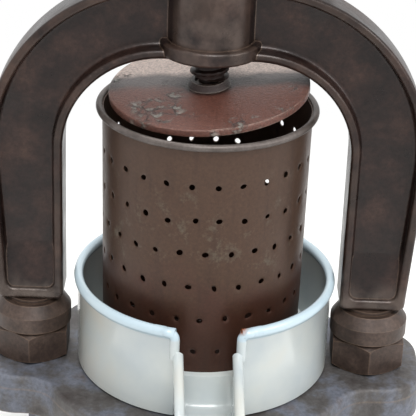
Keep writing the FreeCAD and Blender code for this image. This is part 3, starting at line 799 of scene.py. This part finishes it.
screwLength = screw["high"] - screw["low"]
spindleThread = bakeNodes(objectFrom(bpy.data.meshes.new("spindleThread"), "spindleThread"), threadTree(), {
    "Radius": screw["radius"] * mm, "Depth": screw["depth"] * mm, "Lead": screw["lead"] * mm,
    "Length": screwLength * mm, "Start": screw["low"] * mm, "Crest": screw["crest"], "Root": screw["root"],
    "Round Steps": screw["turnSteps"] + 1,
    "Long Steps": int(screwLength / screw["lead"] * screw["leadSteps"]) + 1,
    "Material": screwSteel,
})
threadShape = bmesh.new()
threadShape.from_mesh(spindleThread.data)
bmesh.ops.holes_fill(threadShape, edges=[edge for edge in threadShape.edges if edge.is_boundary])
bmesh.ops.recalc_face_normals(threadShape, faces=threadShape.faces)
threadShape.to_mesh(spindleThread.data)
threadShape.free()
smoothByAngle(spindleThread.data, meshCare["roundAngle"])
place(spindleThread, "spindle", "screw_steel", "spindle")


def spindleNeck():
    # journal, neck and the fillet under the thread
    fillet = screw["fillet"]
    neck = screw["neck"]
    top = screw["low"] + screw["neckLap"]
    outline = [(0.0, screw["journalFoot"]), (screw["journal"], screw["journalFoot"])]
    outline += [(screw["journal"], screw["neckFoot"]), (neck, screw["neckFoot"]), (neck, top - fillet)]
    outline += arcPoints((neck + fillet, top - fillet), (fillet, fillet), 180, 90, screw["filletSteps"])
    outline += [(0.0, top)]
    shape = bmesh.new()
    addLathe(shape, outline, (0, 0), screw["neckSides"])
    return finishMesh(shape, "spindleNeck", screwSteel)


place(spindleNeck(), "spindle", "screw_steel")
print("screw cut")


# enamelled pan with its spout

pan = {
    "x": 1.6, "radius": 82.5, "sheet": 2.0, "foot": 110.0, "rim": 173.0, "segments": 128,
    "beadOut": 84.75, "beadWide": 6.0, "beadHigh": 7.0, "beadArc": (-50, 230, 22), "beadGap": 0.8,
    "seatTop": 133.0, "seatRadius": 68.0, "seatEdge": ((-1.0, 0.0), (0.3, -0.6)),
    "slope": 6.0, "slopeFoot": ((-3.8, 11.5), (-2.2, 5.6), (-0.6, 2.2), (1.6, 0.5), (4.5, 0.0)),
    "moat": 113.0, "wallSink": 1.5, "footEdge": ((0.0, 2.6), (-1.2, 0.9), (-3.2, 0.0)),
    "gap": 34.8, "gapRoll": 3.0, "turn": 2.6,
    "roll": 3.1, "rollLift": 0.6, "rollTurns": (9.0, 6.5, 4.4), "rollBend": 5.0, "bendSteps": 6,
    "rollLap": 3.0,
}
spout = {
    "backY": 80.8, "tipY": 161.7, "backWide": 36.2, "tipWide": 34.7, "sheet": 2.2, "drop": 1.8,
    "backRise": 44.0, "tipRise": 25.3, "roll": 3.2, "rollSides": 14, "steps": 12,
    "corner": 5.0, "cornerSteps": 5,
}
spout["floor"] = pan["moat"] - spout["sheet"]


def panBowl():
    shape = bmesh.new()
    wallIn = pan["radius"] - pan["sheet"]
    wallFoot = pan["moat"] - pan["wallSink"]
    wallTop = pan["rim"] - pan["beadHigh"] - pan["beadGap"]
    beadCentre = (pan["beadOut"] - pan["beadWide"] / 2, pan["rim"] - pan["beadHigh"] / 2)
    beadSize = (pan["beadWide"] / 2, pan["beadHigh"] / 2)
    wall = [(pan["radius"], wallFoot), (pan["radius"], wallTop)]
    wall += arcPoints(beadCentre, beadSize, *pan["beadArc"])
    wall += [(wallIn, wallTop), (wallIn, wallFoot)]
    halfGap = math.degrees(math.asin((pan["gap"] / 2 + pan["gapRoll"]) / pan["radius"]))
    addLathe(shape, wall, (pan["x"], 0), pan["segments"], -90 + pan["turn"] + halfGap, 360 - 2 * halfGap)
    # floor with raised seat, closed underneath
    slopeEnd = pan["seatRadius"] + pan["slope"]
    seatUnder = pan["seatTop"] - pan["sheet"]
    outline = [(0.0, pan["seatTop"])]
    outline += [(pan["seatRadius"] + run, pan["seatTop"] + rise) for run, rise in pan["seatEdge"]]
    outline += [(slopeEnd + run, pan["moat"] + rise) for run, rise in pan["slopeFoot"]]
    outline += [(pan["radius"], pan["moat"])]
    outline += [(pan["radius"] + run, pan["foot"] + rise) for run, rise in pan["footEdge"]]
    outline += [(slopeEnd - pan["sheet"], pan["foot"]), (pan["seatRadius"] - pan["sheet"], seatUnder)]
    outline += [(0.0, seatUnder)]
    addLathe(shape, outline, (pan["x"], 0), pan["segments"])
    return finishMesh(shape, "panBowl", panEnamel, meshCare["roundAngle"])


def spoutOutline(wide, floor, rise):
    # the channel's section, from under the floor, over its plain edge, to the inside
    half = wide / 2
    sheet = spout["sheet"]
    outer = spout["corner"]
    inner = outer - sheet
    side = [(0.0, floor)]
    side += arcPoints((half - outer, floor + outer), (outer, outer), -90, 0, spout["cornerSteps"])
    side += [(half, floor + rise), (half - sheet, floor + rise)]
    side += arcPoints((half - outer, floor + outer), (inner, inner), 0, -90, spout["cornerSteps"])
    side += [(0.0, floor + sheet)]
    return side + [(-x, z) for x, z in reversed(side[1:-1])]


def spoutPoint(x, y, z):
    # a place on the spout, turned with it about the pan's axis
    turn = math.radians(pan["turn"])
    return (pan["x"] + x * math.cos(turn) - y * math.sin(turn), x * math.sin(turn) + y * math.cos(turn), z)


def gapEdge(side):
    # path of the roll that leaves the rim and runs down the side of the gap
    beadRadius = pan["beadOut"] - pan["beadWide"] / 2
    beadZ = pan["rim"] - pan["beadHigh"] / 2 + pan["rollLift"]
    edgeX = pan["gap"] / 2 + pan["gapRoll"]
    edgeY = -math.sqrt(beadRadius ** 2 - edgeX ** 2)
    gapAngle = math.degrees(math.asin(edgeX / beadRadius))
    bend = pan["rollBend"]
    path = []
    for extra in pan["rollTurns"]:
        angle = math.radians(gapAngle + extra)
        path.append((side * beadRadius * math.sin(angle), -beadRadius * math.cos(angle), beadZ))
    for run, drop in arcPoints((-bend, -bend), (bend, bend), 90, 0, pan["bendSteps"]):
        path.append((side * (edgeX - run), edgeY, beadZ + drop))
    path.append((side * edgeX, edgeY, spout["floor"] + spout["backRise"] - pan["rollLap"]))
    return [spoutPoint(*point) for point in path]


def spoutEdge(side):
    # path of the roll along the top of the spout's side
    backZ = spout["floor"] + spout["backRise"]
    tipZ = spout["floor"] - spout["drop"] + spout["tipRise"]
    start = Vector((side * spout["backWide"] / 2, -spout["backY"], backZ))
    end = Vector((side * spout["tipWide"] / 2, -spout["tipY"], tipZ))
    return [spoutPoint(*start.lerp(end, step / spout["steps"])) for step in range(spout["steps"] + 1)]


def panSpout():
    shape = bmesh.new()
    rings = []
    for step in range(spout["steps"] + 1):
        share = step / spout["steps"]
        wide = spout["backWide"] + (spout["tipWide"] - spout["backWide"]) * share
        floor = spout["floor"] - spout["drop"] * share
        rise = spout["backRise"] + (spout["tipRise"] - spout["backRise"]) * share
        y = -(spout["backY"] + (spout["tipY"] - spout["backY"]) * share)
        section = [spoutPoint(x, y, z) for x, z in spoutOutline(wide, floor, rise)]
        rings.append([shape.verts.new(Vector(point) * mm) for point in section])
    joinRings(shape, rings)
    shape.faces.new(reversed(rings[0]))
    shape.faces.new(rings[-1])
    for side in (-1, 1):
        addTube(shape, gapEdge(side), pan["roll"], spout["rollSides"])
        addTube(shape, spoutEdge(side), spout["roll"], spout["rollSides"])
    return finishMesh(shape, "panSpout", panEnamel, meshCare["roundAngle"])


place(panBowl(), "pan", "enamel", "pan_bowl")
place(panSpout(), "pan", "enamel", "pan_spout")
print("pan drawn")


# floor, light and camera

studio = {
    "floorRadius": 0.75, "floorSides": 96, "floorDrop": 0.2, "floor": "#f2f2f0", "floorRough": 0.9,
    "fadeFrom": 0.35, "fadeTo": 0.97, "worldLight": 0.75,
    "lens": 135.48, "sensor": 36.0, "nearClip": 0.01,
    "eye": (-1.0, -901.9, 647.2), "pitch": 25.540, "yaw": 0.202, "roll": -2.178,
}
lamps = (
    {"name": "keyLight", "spot": (0.15, -0.95, 1.65), "target": (0, 0, 0.2), "size": 0.9, "watts": 20},
    {"name": "topLight", "spot": (-0.3, 0.7, 1.7), "target": (0, 0, 0.3), "size": 0.8, "watts": 14},
    {"name": "sideLight", "spot": (1.2, -0.6, 0.9), "target": (0, 0, 0.25), "size": 0.7, "watts": 6},
)
white = (1.0, 1.0, 1.0, 1.0)


def paleFloor():
    # matt pale floor that fades to plain white at its edge and keeps the shadow in the middle
    mesh = bpy.data.meshes.new("floor")
    shape = bmesh.new()
    bmesh.ops.create_circle(shape, cap_ends=True, segments=studio["floorSides"], radius=studio["floorRadius"])
    shape.to_mesh(mesh)
    shape.free()
    material, tree, shader, spot = newMaterial("paperWhiteFloor")
    fillNode(tree, shader, {"Base Color": linear(studio["floor"]), "Roughness": studio["floorRough"]})
    fadeEnd = studio["floorRadius"] * studio["fadeTo"]
    fade = remap(tree, lengthOf(tree, spot), studio["fadeFrom"], fadeEnd, smooth=True)
    glow = addNode(tree, "ShaderNodeEmission", {"Color": white, "Strength": 1.0}).outputs[0]
    mix = addNode(tree, "ShaderNodeMixShader", {0: fade, 1: shader.outputs[0], 2: glow})
    tree.links.new(mix.outputs[0], tree.nodes["Material Output"].inputs["Surface"])
    mesh.materials.append(material)
    floor = objectFrom(mesh, "floor")
    floor.location.z = -studio["floorDrop"] * mm


def softWorld():
    # even studio light; the camera and reflections see plain white
    world = bpy.data.worlds.new("studioWorld")
    world.use_nodes = True
    scene.world = world
    tree = world.node_tree
    rays = addNode(tree, "ShaderNodeLightPath").outputs
    mirrored = calc(tree, "MAXIMUM", rays["Is Glossy Ray"], rays["Is Transmission Ray"])
    seen = calc(tree, "MAXIMUM", rays["Is Camera Ray"], mirrored)
    strength = remap(tree, seen, 0.0, 1.0, studio["worldLight"], 1.0)
    fillNode(tree, tree.nodes["Background"], {"Color": white, "Strength": strength})


def areaLight(look):
    lamp = bpy.data.lights.new(look["name"], "AREA")
    lamp.shape = "DISK"
    lamp.size = look["size"]
    lamp.energy = look["watts"]
    light = objectFrom(lamp, look["name"])
    light.location = look["spot"]
    aim = Vector(look["target"]) - Vector(look["spot"])
    light.rotation_euler = aim.to_track_quat("-Z", "Y").to_euler()


def photoCamera():
    pitch, yaw, roll = (math.radians(studio[key]) for key in ("pitch", "yaw", "roll"))
    forward = Vector((math.sin(yaw) * math.cos(pitch), math.cos(yaw) * math.cos(pitch), -math.sin(pitch)))
    right = Vector((math.cos(yaw), -math.sin(yaw), 0))
    up = right.cross(forward)
    rolledRight = math.cos(roll) * right - math.sin(roll) * up
    rolledUp = math.sin(roll) * right + math.cos(roll) * up
    lens = bpy.data.cameras.new("photoCamera")
    lens.lens = studio["lens"]
    lens.sensor_width = studio["sensor"]
    lens.clip_start = studio["nearClip"]
    camera = objectFrom(lens, "photoCamera")
    turn = Matrix((rolledRight, rolledUp, -forward)).transposed()
    camera.matrix_world = Matrix.Translation(Vector(studio["eye"]) * mm) @ turn.to_4x4()
    scene.camera = camera


paleFloor()
softWorld()
for look in lamps:
    areaLight(look)
photoCamera()
scene.view_settings.view_transform = "Standard"
print("studio lit")
